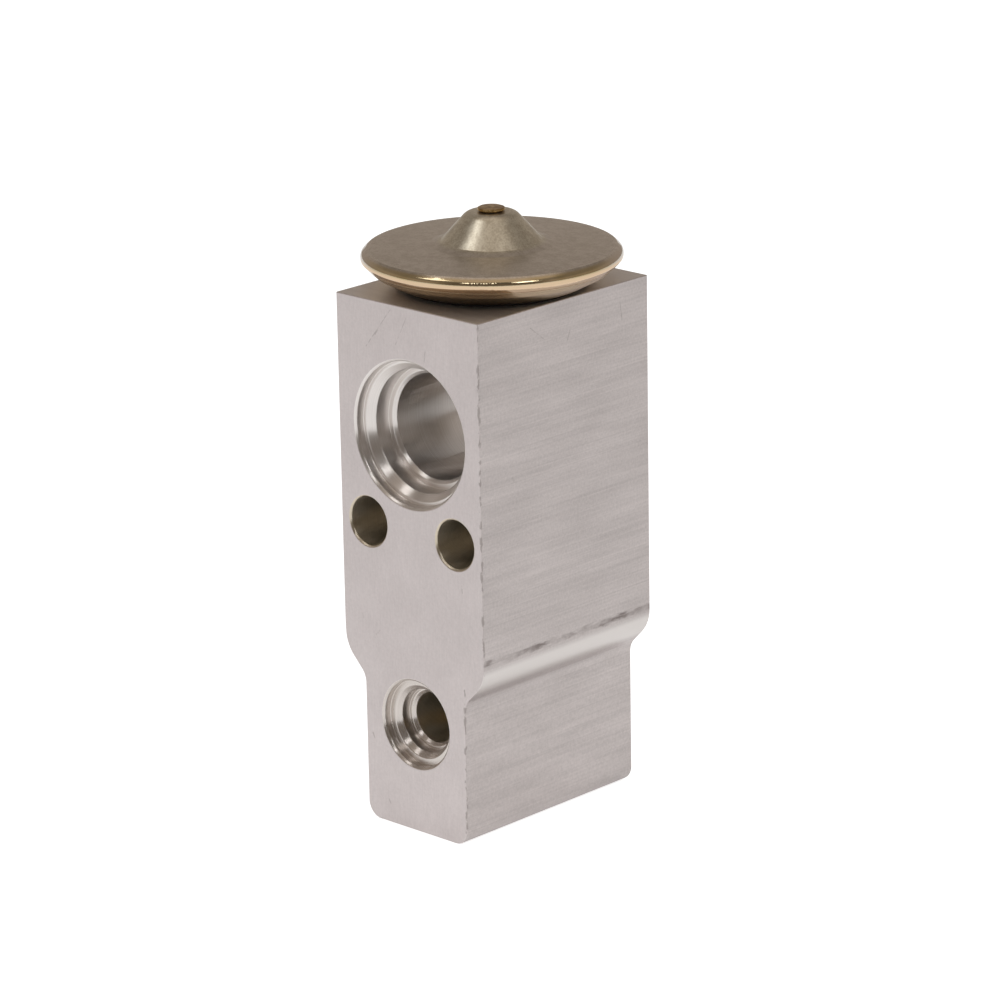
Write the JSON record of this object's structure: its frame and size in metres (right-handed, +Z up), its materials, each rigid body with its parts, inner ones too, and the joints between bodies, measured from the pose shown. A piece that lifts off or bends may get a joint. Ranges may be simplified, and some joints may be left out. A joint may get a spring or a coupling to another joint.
{
  "type": "thermostatic expansion valve",
  "caption": "Block-type thermostatic expansion valve: aluminium block with four pipe ports, two through holes and a round steel power head.",
  "frame": {"origin": "bottom centre of the block", "axes": "+Z up along the valve's own axis to the power head, -Y out of the face with the liquid inlet"},
  "size_m": [0.0344, 0.0344, 0.0823],
  "materials": {
    "block_aluminium": "extruded, sawn faces",
    "head_steel": "pressed sheet, satin, faint gold passivation",
    "plug_metal": "dull brown gold",
    "spring_steel": "drawn wire or rolled strip",
    "turned_steel": "turned or ground",
    "polished_steel": "polished ball",
    "turned_brass": "turned",
    "seal_rubber": "black, satin"
  },
  "bodies": {
    "block": {"valve_body": "block_aluminium", "head_cover": "head_steel", "head_base": "head_steel", "diaphragm": "spring_steel", "charge_plug": "plug_metal", "head_seal": "seal_rubber", "rod_seal": "seal_rubber", "rod_seal_retainer": "spring_steel", "superheat_spring": "spring_steel"},
    "valve_train": {"stopper_plate": "turned_brass", "sensing_rod": "turned_steel", "push_pin": "turned_steel", "valve_ball": "polished_steel", "ball_carrier": "turned_brass", "damping_spring": "spring_steel"},
    "adjuster_ring": {"adjuster_seal": "seal_rubber"},
    "adjuster": {"adjusting_screw": "turned_brass"}
  },
  "joints": [
    {"name": "valve_lift", "type": "slide", "parent": "block", "child": "valve_train", "axis": [0, 0, -1], "range_m": [0, 0.0008], "stiffness_N_per_m": 1000, "springref_m": -0.002, "deforming": ["superheat_spring"]},
    {"name": "adjuster_travel", "type": "slide", "parent": "block", "child": "adjuster_ring", "axis": [0, 0, 1], "range_m": [-0.001, 0.001], "deforming": ["superheat_spring"]},
    {"name": "adjuster_turn", "type": "hinge", "parent": "adjuster_ring", "child": "adjuster", "pos_m": [0, 0, 0.0014], "axis": [0, 0, 1], "range_deg": [-360, 360]}
  ],
  "couplings": [
    {"joint": "adjuster_turn", "follows": "adjuster_travel", "rad_per_m": 6283.2}
  ]
}
